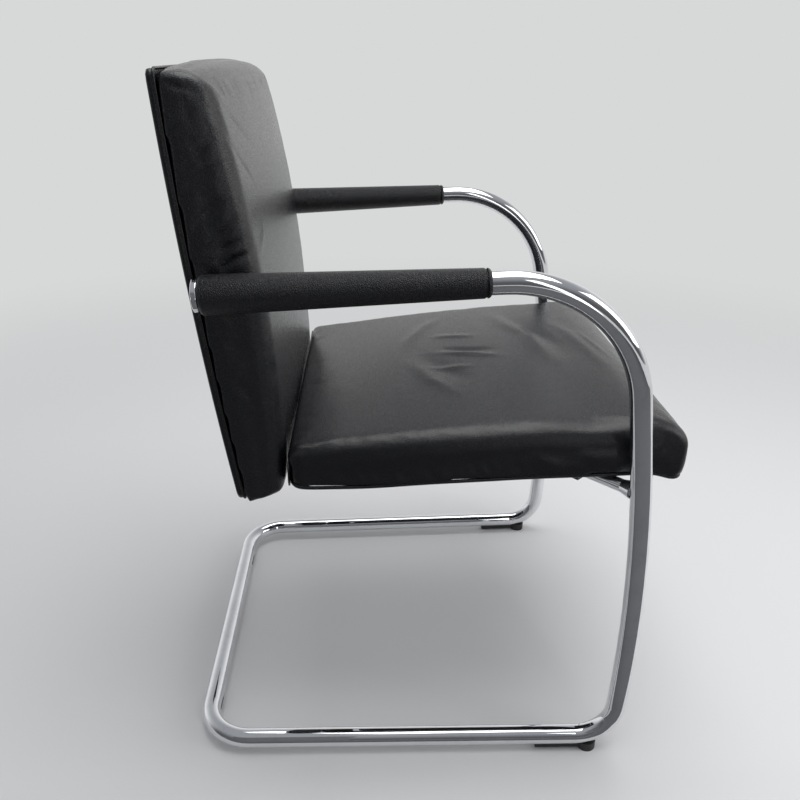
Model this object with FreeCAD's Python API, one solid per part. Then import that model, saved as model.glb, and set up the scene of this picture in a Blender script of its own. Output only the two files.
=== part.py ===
import FreeCAD, Part
import math
import os

# Cantilever armchair: one bent chrome tube carries a leather seat, a leather back and padded arms.
# Millimetres. +Z is up, the chair faces -Y and +X is the sitter's left. The origin lies on the
# floor under the middle of the chair. "Forward" is the distance from the frame's rearmost face.

os.makedirs("parts", exist_ok=True)

# Frame tube
tube_radius = 12.5
tube_wall = 2.0
arm_end_forward = 70.0
arm_end_inset = 2.8
arm_corner_forward = 516.6
arm_corner_outset = 0.7
arm_corner_height = 650.2
arm_rise = 0.036
arm_bend_radius = 151.0
leg_corner_forward = 570.0
leg_corner_height = 270.5
leg_half = 266.8
leg_straight = 9.7
foot_corner_forward = 556.4
foot_bend_radius = 51.4
rear_rail_inset = 12.5
rear_bend_radius = 62.0

# Arm ends and arm pads
cap_radius = 17.5
cap_thickness = 6.5
cap_rounding = 1.6
cap_spigot_length = 8.5
pad_gap = 0.4
pad_length = 295.0
pad_rear_radius = 21.0
pad_front_radius = 15.5
pad_rounding = 4.0
pad_leather = 1.4

# Glides
glide_height = 7.5
glide_wrap = 4.5
front_glide_forward = 525.5
front_glide_radius = 12.2
runner_length = 70.0
runner_width = 12.0
runner_lift = 2.5
rear_glide_inset = 90.8
rear_glide_length = 29.0
rear_glide_width = 18.0
stud_radius = 3.9
stud_height = 13.0

# Seat cushion
seat_side_gap = 9.3
seat_front = 614.0
seat_rear = 146.0
seat_bottom_height = 394.5
seat_tilt = 0.030
seat_rear_thickness = 40.0
seat_top_rise = 37.0
seat_top_bulge = 3.7
seat_crown = 11.0
seat_fall_start = 550.0
seat_fall_height = 13.0
fall_share = 0.3
seat_side_rounding = 18.0
seat_rear_rounding = 12.0
seat_rear_corner = 12.0
seat_front_corner = 9.0
seat_nose = 13.0
seat_front_tuck = 6.0
seat_leather = 1.6
pan_thickness = 11.0
pan_margin = 15.0
pan_corner = 30.0
turn_in = 30.0
underside_thickness = 0.8
underside_margin = 9.0
piping_radius = 2.2
rear_strip_thickness = 2.4
rear_strip_height = 27.0
rear_strip_margin = 4.0

# Seat bow and its fastenings
bow_radius = 8.0
bow_wall = 2.0
bow_drop = 12.8
bow_angle = math.radians(40.0)
bow_side_inset = 91.8
bow_rear_forward = 205.0
bow_front_bend = 45.0
bow_rear_bend = 60.0
collar_radius = 11.0
collar_length = 13.0
collar_bite = 1.0
saddle_length = 24.0
saddle_width = 34.0
saddle_skirt = 6.5
front_saddle_inset = 66.8
rear_saddle_inset = 85.0
seat_bolt_radius = 3.0
seat_bolt_head_radius = 4.5
access_hole_radius = 5.2
nut_flange_radius = 9.0
nut_flange_thickness = 1.5
nut_barrel_radius = 4.3
nut_barrel_length = 9.0

# Back cushion
back_side_gap = 3.0
back_top = 850.5
back_top_drop = 8.0
back_bottom = 373.0
back_bottom_rise = 7.5
back_rear_forward = 25.1
back_rear_curve = 4970.0
back_rear_vertical_height = 1141.0
back_front_forward = 136.5
back_front_curve = 1640.0
back_front_vertical_height = 448.0
back_crown = 5.0
back_low_side_rounding = 11.0
back_high_side_rounding = 22.0
back_top_edge_rounding = 7.0
back_top_front_rounding = 30.0
back_bottom_front_rounding = 6.0
back_leather = 1.5
back_board_thickness = 12.0
back_board_margin = 18.0
back_board_corner = 25.0

# Rear panel
panel_side_margin = 2.0
panel_bottom = 378.0
panel_top = 845.0
panel_board_thickness = 5.0
panel_leather = 1.3
panel_gap = 1.2
panel_corner = 7.0
panel_turn_in = 36.0
clip_radius = 4.0
clip_base_radius = 8.0
clip_depth = 9.0
clip_inset = 88.0
clip_heights = (430.0, 610.0, 790.0)

# Fastening of the back to the arms
bracket_thickness = 3.0
bracket_height = 60.0
cheek_height = 44.0
bracket_flange = 40.0
cheek_depth = 38.0
back_bolt_forwards = (84.0, 104.0)
back_bolt_radius = 2.95
back_bolt_head_radius = 5.0
back_bolt_head_height = 4.0
back_bolt_reach = 8.5
washer_radius = 6.5
washer_thickness = 1.2
spacer_radius = 7.0
insert_radius = 4.5
insert_depth = 8.2
screw_radius = 2.0
screw_head_radius = 4.0
screw_head_height = 1.8
screw_length = 9.0

# Clearances
fit = 0.15
hole_fit = 0.3
inner_fit = 0.1
cut_margin = 1.0

# An edge lies along a direction where this share of its tangent does
aligned = 0.9

# What follows from the sizes
rail_height = glide_height + tube_radius
rear_rail_forward = tube_radius
arm_end_height = arm_corner_height - arm_rise * (arm_corner_forward - arm_end_forward)
arm_end_half = leg_half - arm_end_inset
arm_corner_half = leg_half + arm_corner_outset
rear_rail_half = leg_half - rear_rail_inset
rear_glide_middle = leg_half - rear_glide_inset
seat_half = leg_half - tube_radius - seat_side_gap
seat_middle = (seat_rear + seat_front) / 2
bow_side_half = leg_half - bow_side_inset
front_saddle_half = leg_half - front_saddle_inset
rear_saddle_half = bow_side_half - rear_saddle_inset
back_half = arm_end_half - pad_rear_radius - back_side_gap
panel_half = back_half - panel_side_margin
clip_half = back_half - clip_inset
panel_thickness = panel_board_thickness + 2 * panel_leather
cover_rear = panel_thickness + panel_gap
board_rear = cover_rear + back_leather + inner_fit
board_front = board_rear + back_board_thickness
board_half = back_half - back_board_margin
cheek_face = board_half
pan_bottom_lift = seat_leather + inner_fit
X = FreeCAD.Vector(1, 0, 0)
FORWARD = FreeCAD.Vector(0, -1, 0)
UP = FreeCAD.Vector(0, 0, 1)


def at(x, forward, height):
    """A point of the chair, given by its side, its forward distance and its height."""
    return FreeCAD.Vector(x, seat_front / 2 - forward, height)


def unit(vector):
    """The same direction, one millimetre long."""
    return FreeCAD.Vector(vector).normalize()


def cylinder(start, direction, radius, length):
    return Part.makeCylinder(radius, length, start, direction)


def joined(shapes):
    """One shape from several that touch, with the seams between them removed."""
    return shapes[0].fuse(shapes[1:]).removeSplitter()


def without(shape, tools):
    """The shape with every tool cut away."""
    for tool in tools:
        shape = shape.cut(tool)
    return shape


def both_sides(shape):
    """The shape and its mirror image on the other side of the chair."""
    return [shape, shape.mirror(FreeCAD.Vector(0, 0, 0), X)]


def bent_path(corners, radii):
    """Straight runs joined by tangent arcs, one arc at each inner corner."""
    edges = []
    start = corners[0]
    for before, corner, after, radius in zip(corners, corners[1:], corners[2:], radii):
        inward = unit(corner - before)
        outward = unit(after - corner)
        half_turn = inward.getAngle(outward) / 2
        reach = radius * math.tan(half_turn)
        middle = corner + unit(outward - inward) * (radius / math.cos(half_turn) - radius)
        arc_start = corner - inward * reach
        arc_end = corner + outward * reach
        edges.append(Part.LineSegment(start, arc_start).toShape())
        edges.append(Part.Arc(arc_start, middle, arc_end).toShape())
        start = arc_end
    edges.append(Part.LineSegment(start, corners[-1]).toShape())
    return edges


def rod_along(edges, radius):
    """A round rod that follows the edges."""
    first = edges[0]
    start = first.valueAt(first.FirstParameter)
    direction = first.tangentAt(first.FirstParameter)
    circle = Part.Wire([Part.makeCircle(radius, start, direction)])
    return Part.Wire(edges).makePipeShell([circle], True, False)


def arc_through(start, middle, end):
    return Part.Arc(start, middle, end).toShape()


def line(start, end):
    return Part.LineSegment(start, end).toShape()


def corner_inset(distance, radius):
    """How far a rounded corner draws in, this far from where the corner ends."""
    rest = max(radius - distance, 0)
    return radius - math.sqrt(radius ** 2 - rest ** 2)


def cross_stations(half, rounding):
    """Sides at which a cushion is cut: close together in its rounded edge, wide in its middle."""
    steps = [0, 0.08, 0.3, 0.6, 1.0]
    right = [half - rounding * step for step in steps] + [half * 0.6, half * 0.3]
    return right + [0] + [-x for x in reversed(right)]


# Frame

def leg_bow_radius(arm_corner, leg_corner, foot_corner, rear_corner):
    """The leg's long gentle bend takes all the leg below that the foot's bend leaves."""
    down = unit(foot_corner - leg_corner)
    foot_half_turn = down.getAngle(unit(rear_corner - foot_corner)) / 2
    half_turn = unit(leg_corner - arm_corner).getAngle(down) / 2
    leg_length = foot_corner.distanceToPoint(leg_corner)
    reach = leg_length - foot_bend_radius * math.tan(foot_half_turn) - leg_straight
    return reach / math.tan(half_turn)


def side_corners(side):
    """Corners of one side of the frame, from the arm's rear end round to the rear rail."""
    return [
        at(side * arm_end_half, arm_end_forward, arm_end_height),
        at(side * arm_corner_half, arm_corner_forward, arm_corner_height),
        at(side * leg_half, leg_corner_forward, leg_corner_height),
        at(side * leg_half, foot_corner_forward, rail_height),
        at(side * rear_rail_half, rear_rail_forward, rail_height),
    ]


def frame_path():
    left = side_corners(1)
    right = side_corners(-1)
    radii = [arm_bend_radius, leg_bow_radius(*left[1:]), foot_bend_radius, rear_bend_radius]
    return bent_path(left + right[::-1], radii + radii[::-1])


def arm_direction(side):
    start, corner = side_corners(side)[:2]
    return unit(corner - start)


def arm_point(side, forward):
    """The point of the arm's axis at this forward distance."""
    start, corner = side_corners(side)[:2]
    share = (forward - arm_end_forward) / (arm_corner_forward - arm_end_forward)
    return start + (corner - start) * share


def rail_point(side, forward):
    """The point of a floor rail's axis at this forward distance."""
    front, rear = side_corners(side)[3:]
    share = (forward - rear_rail_forward) / (foot_corner_forward - rear_rail_forward)
    return rear + (front - rear) * share


def leg_point(height):
    """The point of the left leg's bend at this height, found by halving the bend's length."""
    bend = frame_path()[3]
    low, high = bend.FirstParameter, bend.LastParameter
    for _ in range(40):
        middle = (low + high) / 2
        if bend.valueAt(middle).z > height:
            low = middle
        else:
            high = middle
    return bend.valueAt(low)


def glide_studs(extra=0):
    """The studs of the four glides, which press into holes in the tube."""
    places = [rail_point(side, front_glide_forward) for side in (1, -1)]
    places += [at(side * rear_glide_middle, rear_rail_forward, rail_height) for side in (1, -1)]
    radius = stud_radius + extra
    return [cylinder(FreeCAD.Vector(p.x, p.y, runner_lift), UP, radius, stud_height - runner_lift)
            for p in places]


def insert_holes():
    """Holes in the arm's inner wall for the threaded inserts."""
    holes = []
    for forward in back_bolt_forwards:
        centre = arm_point(1, forward)
        start = FreeCAD.Vector(cheek_face, centre.y, centre.z)
        hole = cylinder(start, X, insert_radius + fit, centre.x - cheek_face)
        holes += both_sides(hole)
    return holes


def make_frame_tube(outer):
    bore = rod_along(frame_path(), tube_radius - tube_wall)
    return without(outer.cut(bore), glide_studs(fit) + insert_holes())


# Arm ends and pads

def make_end_cap(side):
    """A disc on the arm's rear end, with a spigot in the tube."""
    direction = arm_direction(side)
    end = arm_point(side, arm_end_forward)
    disc = cylinder(end - direction * cap_thickness, direction, cap_radius, cap_thickness)
    disc = disc.makeFillet(cap_rounding, [edge for edge in disc.Edges if edge.isClosed()])
    spigot_radius = tube_radius - tube_wall - fit
    spigot = cylinder(end - direction * cap_rounding, direction, spigot_radius,
                      cap_spigot_length + cap_rounding)
    return joined([disc, spigot])


def pad_cone(side, inset, rounding):
    """The pad's tapered outer form with rounded ends, drawn in all round by the inset."""
    direction = arm_direction(side)
    start = arm_point(side, arm_end_forward) + direction * (pad_gap + inset)
    length = pad_length - 2 * inset
    cone = Part.makeCone(pad_rear_radius - inset, pad_front_radius - inset, length,
                         start, direction)
    return cone.makeFillet(rounding, [edge for edge in cone.Edges if edge.isClosed()])


def pad_bore(side, clearance):
    direction = arm_direction(side)
    start = arm_point(side, arm_end_forward) - direction * cut_margin
    return cylinder(start, direction, tube_radius + clearance, pad_length + cap_radius)


def spacer_holes(clearance):
    """Sideways holes for the spacers between the back and the arms."""
    holes = []
    for forward in back_bolt_forwards:
        centre = arm_point(1, forward)
        start = FreeCAD.Vector(cheek_face, centre.y, centre.z)
        hole = cylinder(start, X, spacer_radius + clearance, centre.x - cheek_face)
        holes += both_sides(hole)
    return holes


def make_pad_leather(side):
    inside = pad_cone(side, pad_leather, pad_rounding - pad_leather)
    shell = pad_cone(side, 0, pad_rounding).cut(inside)
    return without(shell, [pad_bore(side, fit)] + spacer_holes(hole_fit))


def make_pad_core(side):
    inset = pad_leather + inner_fit
    solid = pad_cone(side, inset, pad_rounding - inset)
    return without(solid, [pad_bore(side, fit)] + spacer_holes(hole_fit))


# Glides

def make_front_glide(side, tube, stud):
    """A round foot with a short runner behind it, both hollowed to the tube."""
    centre = rail_point(side, front_glide_forward)
    behind = rail_point(side, front_glide_forward - runner_length)
    along = unit(behind - centre)
    across = unit(along.cross(UP)) * (runner_width / 2)
    top = glide_height + glide_wrap
    foot = cylinder(FreeCAD.Vector(centre.x, centre.y, 0), UP, front_glide_radius, top)
    corners = [centre - across, behind - across, behind + across, centre + across]
    corners = [FreeCAD.Vector(c.x, c.y, runner_lift) for c in corners]
    runner = Part.Face(Part.makePolygon(corners + corners[:1])).extrude(UP * (top - runner_lift))
    return joined([joined([foot, runner]).cut(tube), stud])


def make_rear_glide(side, stud):
    """A block under the rear rail, hollowed to the tube."""
    x = side * rear_glide_middle - rear_glide_length / 2
    y = at(0, rear_rail_forward, 0).y - rear_glide_width / 2
    block = Part.makeBox(rear_glide_length, rear_glide_width, glide_height + glide_wrap,
                         FreeCAD.Vector(x, y, 0))
    upright = [edge for edge in block.Edges if abs(edge.tangentAt(0).z) > aligned]
    tube = cylinder(at(x - cut_margin, rear_rail_forward, rail_height), X,
                    tube_radius + inner_fit, rear_glide_length + 2 * cut_margin)
    return joined([block.makeFillet(cap_rounding, upright).cut(tube), stud])


# Seat

def seat_bottom(forward):
    return seat_bottom_height + seat_tilt * (forward - seat_rear)


def seat_top(forward):
    """Height of the cushion's top along its sides: a slope that bulges a little."""
    share = (forward - seat_rear) / (seat_fall_start - seat_rear)
    straight = seat_bottom_height + seat_rear_thickness + seat_top_rise * share
    return straight + 4 * seat_top_bulge * share * (1 - share)


def seat_swell(share, forward):
    """How far the top stands above its sides, most in the middle and nothing at the edges."""
    from_middle = (forward - seat_middle) / (seat_front - seat_middle)
    return seat_crown * (1 - share ** 2) * (1 - from_middle ** 2)


def seat_normal():
    """The direction square to the seat's underside, upwards."""
    return unit(FreeCAD.Vector(0, seat_tilt, 1))


def seat_section(x, half, inset):
    """The cushion's side outline at one station across its width."""
    edge = half - abs(x)
    rear = seat_rear + inset + corner_inset(edge, seat_rear_corner)
    front = seat_front - inset - corner_inset(edge, seat_front_corner)
    drop = inset + corner_inset(edge, seat_side_rounding)

    def top(forward):
        return at(x, forward, seat_top(forward) - drop + seat_swell(x / half, forward))

    past = 1 - math.cos(math.pi / 4)
    full_height = seat_top(seat_rear) - seat_bottom(seat_rear)
    rounding = seat_rear_rounding * (full_height - drop - inset) / full_height
    shoulder = rear + rounding
    rear_bow = rounding * past
    rear_top = at(x, rear, top(shoulder).z - rounding)
    rear_bend = at(x, rear + rear_bow, top(shoulder).z - rear_bow)
    fall_end = front - seat_nose
    fall_start_top = top(seat_fall_start)
    nose_height = seat_top(seat_fall_start) - seat_fall_height - drop
    fall_middle = (seat_fall_start + fall_end) / 2
    fall_point = at(x, fall_middle, fall_start_top.z - (fall_start_top.z - nose_height) * fall_share)
    nose_bow = seat_nose * past
    nose_bend = at(x, front - nose_bow, nose_height - nose_bow)
    nose_front = at(x, front, nose_height - seat_nose)
    foot = front - seat_front_tuck
    front_foot = at(x, foot, seat_bottom(foot) + inset)
    rear_foot = at(x, rear, seat_bottom(rear) + inset)
    front_point = at(x, front - seat_front_tuck / 4, (nose_front.z + front_foot.z) / 2)
    return Part.Wire([
        line(rear_foot, rear_top),
        arc_through(rear_top, rear_bend, top(shoulder)),
        arc_through(top(shoulder), top((shoulder + seat_fall_start) / 2), fall_start_top),
        arc_through(fall_start_top, fall_point, at(x, fall_end, nose_height)),
        arc_through(at(x, fall_end, nose_height), nose_bend, nose_front),
        arc_through(nose_front, front_point, front_foot),
        line(front_foot, rear_foot),
    ])


def seat_form(inset):
    """The whole cushion's form, drawn in all round by the inset."""
    half = seat_half - inset
    stations = cross_stations(half, max(seat_side_rounding, seat_rear_corner))
    return Part.makeLoft([seat_section(x, half, inset) for x in stations], True, True)


def seat_plate(margin, low, high, corner):
    """A flat plate along the seat's underside, inside the cushion's outline by the margin."""
    rear = seat_rear + margin
    front = seat_front - seat_front_tuck - margin
    half = seat_half - margin
    column = Part.makeBox(2 * half, front - rear, seat_bottom(front) + high, at(-half, front, 0))
    upright = [edge for edge in column.Edges if abs(edge.tangentAt(0).z) > aligned]
    column = column.makeFillet(corner, upright)
    plan = [(-seat_half, seat_rear), (seat_half, seat_rear), (seat_half, seat_front),
            (-seat_half, seat_front)]
    corners = [at(x, forward, seat_bottom(forward) + low) for x, forward in plan]
    slanted = Part.Face(Part.makePolygon(corners + corners[:1])).extrude(UP * (high - low))
    return column.common(slanted)


def bow_point(x, forward):
    """A point in the bow's plane, which lies parallel to the seat's underside."""
    return at(x, forward, seat_bottom(forward) - bow_drop)


def bow_corners():
    """The bow's corners, from the left leg round behind the seat to the right leg."""
    leg = leg_point(seat_bottom(foot_corner_forward) - bow_drop)
    leg_forward = seat_front / 2 - leg.y
    front_forward = leg_forward - (leg.x - bow_side_half) * math.tan(bow_angle)
    left = [bow_point(leg.x, leg_forward), bow_point(bow_side_half, front_forward),
            bow_point(bow_side_half, bow_rear_forward)]
    return left + [FreeCAD.Vector(-p.x, p.y, p.z) for p in reversed(left)]


def bow_path():
    radii = [bow_front_bend, bow_rear_bend]
    return bent_path(bow_corners(), radii + radii[::-1])


def saddle_places():
    """Centre and direction of the bow at each of the four saddles."""
    corners = bow_corners()
    run = corners[1] - corners[0]
    share = (corners[0].x - front_saddle_half) / (corners[0].x - corners[1].x)
    front = corners[0] + run * share
    rear = bow_point(rear_saddle_half, bow_rear_forward)
    places = []
    for side in (1, -1):
        places.append((FreeCAD.Vector(side * front.x, front.y, front.z),
                       unit(FreeCAD.Vector(side * run.x, run.y, run.z))))
        places.append((FreeCAD.Vector(side * rear.x, rear.y, rear.z), X))
    return places


def make_seat_bow(frame_outer):
    solid = rod_along(bow_path(), bow_radius)
    bore = rod_along(bow_path(), bow_radius - bow_wall)
    up = seat_normal()
    holes = []
    for centre, _ in saddle_places():
        holes.append(cylinder(centre, up, seat_bolt_radius + hole_fit, bow_radius + cut_margin))
        holes.append(cylinder(centre, -up, access_hole_radius, bow_radius + cut_margin))
    return without(solid.cut(bore), [frame_outer] + holes)


def make_collars(frame_outer):
    """Flared necks that close the joint between the bow and each leg."""
    start, corner = bow_corners()[:2]
    direction = unit(corner - start)
    neck = tube_radius - collar_bite
    cone = Part.makeCone(collar_radius + fit, bow_radius + fit, collar_length,
                         start + direction * neck, direction)
    neck_bore = cylinder(start, direction, bow_radius, 2 * tube_radius + collar_length)
    return both_sides(without(cone, [frame_outer, neck_bore]))


def saddle_block(centre, along, clearance):
    """One saddle's outer form, or the room that it needs."""
    up = seat_normal()
    length = saddle_length + 2 * clearance
    width = saddle_width + 2 * clearance
    block = Part.makeBox(length, width, saddle_skirt + 2 * bow_drop,
                         FreeCAD.Vector(-length / 2, -width / 2, -saddle_skirt))
    turn = FreeCAD.Rotation(along, unit(up.cross(along)), up, "ZXY")
    block.Placement = FreeCAD.Placement(centre, turn)
    return block


def saddle_slot(centre, along):
    """The slot, open below and round above, by which a saddle straddles the bow."""
    up = seat_normal()
    width = 2 * (bow_radius + fit)
    slot = Part.makeBox(2 * saddle_length, width, 2 * bow_radius,
                        FreeCAD.Vector(-saddle_length, -width / 2, -2 * bow_radius))
    turn = FreeCAD.Rotation(along, unit(up.cross(along)), up, "ZXY")
    slot.Placement = FreeCAD.Placement(centre, turn)
    round_top = cylinder(centre - along * saddle_length, along, width / 2, 2 * saddle_length)
    return slot.fuse(round_top)


def make_saddles(pan_region):
    """Blocks that straddle the bow and carry the seat's pan."""
    blocks = []
    for centre, along in saddle_places():
        bolt_hole = cylinder(centre, seat_normal(), seat_bolt_radius + hole_fit, 3 * bow_drop)
        tools = [saddle_slot(centre, along), bolt_hole, pan_region]
        blocks.append(without(saddle_block(centre, along, 0), tools))
    return blocks


def make_seat_bolts():
    """Bolts whose heads lie inside the bow and whose shanks reach through the pan."""
    up = seat_normal()
    inside = bow_radius - bow_wall
    head_height = math.sqrt(inside ** 2 - seat_bolt_head_radius ** 2) - fit
    length = bow_drop + pan_bottom_lift + pan_thickness
    bolts = []
    for centre, _ in saddle_places():
        head = cylinder(centre, up, seat_bolt_head_radius, head_height)
        bolts.append(joined([head, cylinder(centre, up, seat_bolt_radius, length)]))
    return bolts


def make_seat_nuts():
    """Flanged nuts let into the pan from above."""
    up = seat_normal()
    top = bow_drop + pan_bottom_lift + pan_thickness
    nuts = []
    for centre, _ in saddle_places():
        flange = cylinder(centre + up * top, up, nut_flange_radius, nut_flange_thickness)
        barrel = cylinder(centre + up * (top - nut_barrel_length), up, nut_barrel_radius,
                          nut_barrel_length)
        thread = cylinder(centre, up, seat_bolt_radius + inner_fit, 3 * top)
        nuts.append(joined([flange, barrel]).cut(thread))
    return nuts


def nut_space(clearance):
    """The room that the nuts and bolt ends take in the pan and in the foam."""
    up = seat_normal()
    top = bow_drop + pan_bottom_lift + pan_thickness
    spaces = []
    for centre, _ in saddle_places():
        spaces.append(cylinder(centre, up, nut_barrel_radius + clearance, top + clearance))
        spaces.append(cylinder(centre + up * top, up, nut_flange_radius + clearance,
                               nut_flange_thickness + clearance))
    return spaces


def make_seat_cover():
    """The leather: a closed skin, open below inside a turned-in rim."""
    skin = seat_form(0).cut(seat_form(seat_leather))
    return skin.cut(seat_plate(turn_in, -cut_margin, seat_leather + cut_margin, pan_corner))


def make_seat_foam():
    form = seat_form(seat_leather + inner_fit)
    pan = seat_plate(pan_margin - fit, -seat_leather, pan_bottom_lift + pan_thickness, pan_corner)
    return without(form, [pan] + nut_space(hole_fit))


def make_seat_piping():
    """A round cord under the cover's lower edge, all round."""
    margin = piping_radius
    rear = seat_rear + margin
    front = seat_front - seat_front_tuck - margin
    half = seat_half - margin

    def low(x, forward):
        return at(x, forward, seat_bottom(forward) - piping_radius - inner_fit)

    corners = [low(0, rear), low(half, rear), low(half, front), low(-half, front),
               low(-half, rear), low(0, rear)]
    radii = [seat_rear_corner, seat_front_corner, seat_front_corner, seat_rear_corner]
    return rod_along(bent_path(corners, radii), piping_radius)


def make_rear_strip():
    """A thin upright strip on the cushion's rear face."""
    half = seat_half - rear_strip_margin
    rear = seat_rear - rear_strip_thickness
    low = seat_bottom(seat_rear) + piping_radius
    corner = at(-half, seat_rear, low)
    return Part.makeBox(2 * half, seat_rear - rear, rear_strip_height, corner)


# Back

def back_rear(height):
    """Forward distance of the back's rear face, an arc that leans away upwards."""
    rise = back_rear_vertical_height - height
    return back_rear_forward + back_rear_curve - math.sqrt(back_rear_curve ** 2 - rise ** 2)


def back_front(height):
    """Forward distance of the back's front face near its sides."""
    rise = height - back_front_vertical_height
    return back_front_forward - back_front_curve + math.sqrt(back_front_curve ** 2 - rise ** 2)


def back_slab(x_low, x_high, near, far, low, high):
    """A plate that follows the rear face, between two distances in front of it."""
    middle = (low + high) / 2
    near_points = [at(x_low, back_rear(z) + near, z) for z in (low, middle, high)]
    far_points = [at(x_low, back_rear(z) + far, z) for z in (high, middle, low)]
    outline = Part.Wire([
        arc_through(*near_points),
        line(near_points[-1], far_points[0]),
        arc_through(*far_points),
        line(far_points[-1], near_points[0]),
    ])
    return Part.Face(outline).extrude(X * (x_high - x_low))


def rounded_slab(half, near, far, low, high, corner):
    """A plate across the whole back with its four corners rounded."""
    slab = back_slab(-half, half, near, far, low, high)
    through = [edge for edge in slab.Edges
               if abs(edge.tangentAt(edge.FirstParameter).y) > aligned
               and edge.Length < 2 * (far - near)]
    return slab.makeFillet(corner, through)


def back_side_rounding(height):
    """Radius of the corner between the back's front and its sides: tight below, full above."""
    share = (height - back_bottom) / (back_top - back_bottom)
    return back_low_side_rounding + (back_high_side_rounding - back_low_side_rounding) * share


def back_depth(height):
    """Thickness of the cushion near its sides, without its crown."""
    return back_front(height) - back_rear(height) - cover_rear


def back_section(x, half, inset):
    """The back cushion's side outline at one station across its width."""
    share = abs(x / half)

    def rear(height):
        return at(x, back_rear(height) + cover_rear + inset, height)

    def front(height, behind=0):
        drawn_in = corner_inset(half - abs(x), back_side_rounding(height)) + inset
        return back_front(height) + back_crown * (1 - share ** 2) - drawn_in - behind

    top = back_top - inset - back_top_drop * share ** 3
    top -= corner_inset(half - abs(x), back_top_edge_rounding)
    low_rear = back_bottom + inset
    low_front = low_rear + back_bottom_rise
    foot = back_bottom_front_rounding - inset
    head_start = top - back_top_front_rounding
    depth_here = back_depth(head_start) + back_crown * (1 - share ** 2)
    depth_here -= corner_inset(half - abs(x), back_side_rounding(head_start)) + 2 * inset
    head = (back_top_front_rounding - inset) * depth_here / (back_depth(head_start) + back_crown)
    head_start = top - head
    foot_end = low_front + foot
    past = 1 - math.cos(math.pi / 4)
    head_top = at(x, front(head_start, head), top)
    head_middle = at(x, front(head_start, head * past), top - head * past)
    head_front = at(x, front(head_start), head_start)
    face_height = (head_start + foot_end) / 2
    foot_front = at(x, front(foot_end), foot_end)
    foot_middle = at(x, front(foot_end, foot * past), low_front + foot * past)
    foot_low = at(x, front(foot_end, foot), low_front)
    return Part.Wire([
        arc_through(rear(low_rear), rear((top + low_rear) / 2), rear(top)),
        line(rear(top), head_top),
        arc_through(head_top, head_middle, head_front),
        arc_through(head_front, at(x, front(face_height), face_height), foot_front),
        arc_through(foot_front, foot_middle, foot_low),
        line(foot_low, rear(low_rear)),
    ])


def back_form(inset):
    """The whole back cushion's form, drawn in all round by the inset."""
    half = back_half - inset
    stations = cross_stations(half, back_high_side_rounding)
    return Part.makeLoft([back_section(x, half, inset) for x in stations], True, True)


def board_outline(clearance):
    low = back_bottom + back_board_margin - clearance
    high = back_top - back_top_drop - back_board_margin + clearance
    return rounded_slab(board_half + clearance, board_rear, board_front + clearance, low, high,
                        back_board_corner)


def forward_pin(x, height, start, end, radius):
    """A pin along the forward direction, between two distances in front of the rear face."""
    base = at(x, back_rear(height) + start, height)
    return cylinder(base, FORWARD, radius, end - start)


def seated_pin(x, height, start, end, radius):
    """A short pin whose two ends follow the curve of the back."""
    margin = radius + cut_margin
    between = back_slab(x - margin, x + margin, start, end, height - margin, height + margin)
    return forward_pin(x, height, start - margin, end + margin, radius).common(between)


def clip_places():
    return [(x, height) for x in (-clip_half, clip_half) for height in clip_heights]


def screw_places(side):
    """Three screws in each bracket's flange."""
    middle = arm_point(1, back_bolt_forwards[0]).z
    x = cheek_face - bracket_flange / 2 - bracket_thickness
    spread = bracket_height / 2 - 2 * screw_head_radius
    return [(side * x, middle - spread), (side * x, middle), (side * x, middle + spread)]


def make_panel_board():
    edge = panel_leather + inner_fit
    return rounded_slab(panel_half - edge, panel_leather, panel_leather + panel_board_thickness,
                        panel_bottom + edge, panel_top - edge, panel_corner - panel_leather)


def make_panel_leather():
    """Leather round the panel's board, open towards the cushion inside a turned-in rim."""
    whole = rounded_slab(panel_half, 0, panel_thickness, panel_bottom, panel_top, panel_corner)
    inside = rounded_slab(panel_half - panel_leather, panel_leather,
                          panel_leather + panel_board_thickness, panel_bottom + panel_leather,
                          panel_top - panel_leather, panel_corner - panel_leather)
    window = rounded_slab(panel_half - panel_turn_in, panel_leather, panel_thickness + cut_margin,
                          panel_bottom + panel_turn_in, panel_top - panel_turn_in, panel_corner)
    return without(whole, [inside, window])


def make_clips():
    """Push-in clips: a base between panel and board, and a stud in the board."""
    clips = []
    for x, height in clip_places():
        start = panel_leather + panel_board_thickness
        base = seated_pin(x, height, start, board_rear, clip_base_radius)
        stud = forward_pin(x, height, board_rear - inner_fit, board_rear + clip_depth, clip_radius)
        clips.append(joined([base, stud]))
    return clips


def make_back_board():
    holes = [forward_pin(x, z, 0, board_rear + clip_depth + cut_margin, clip_radius + inner_fit)
             for x, z in clip_places()]
    for side in (1, -1):
        holes += [forward_pin(x, z, board_front - screw_length - cut_margin,
                              board_front + cut_margin, screw_radius)
                  for x, z in screw_places(side)]
    return without(board_outline(0), holes)


def make_back_cover():
    """The leather: a closed skin, open to the rear inside a turned-in rim."""
    skin = back_form(0).cut(back_form(back_leather))
    half = back_half - turn_in
    window = back_slab(-half, half, 0, board_rear + back_leather, back_bottom + turn_in,
                       back_top - back_top_drop - turn_in)
    return without(skin, [window] + spacer_holes(hole_fit))


def bracket_space(clearance):
    """The steel angle on the left: a flange on the board and a cheek beside the arm."""
    middle = arm_point(1, back_bolt_forwards[0]).z
    flange = back_slab(cheek_face - bracket_flange - clearance, cheek_face,
                       board_front, board_front + bracket_thickness + clearance,
                       middle - bracket_height / 2 - clearance,
                       middle + bracket_height / 2 + clearance)
    cheek = back_slab(cheek_face - bracket_thickness - clearance, cheek_face,
                      board_front, board_front + cheek_depth + clearance,
                      middle - cheek_height / 2 - clearance, middle + cheek_height / 2 + clearance)
    return joined([flange, cheek])


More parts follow.
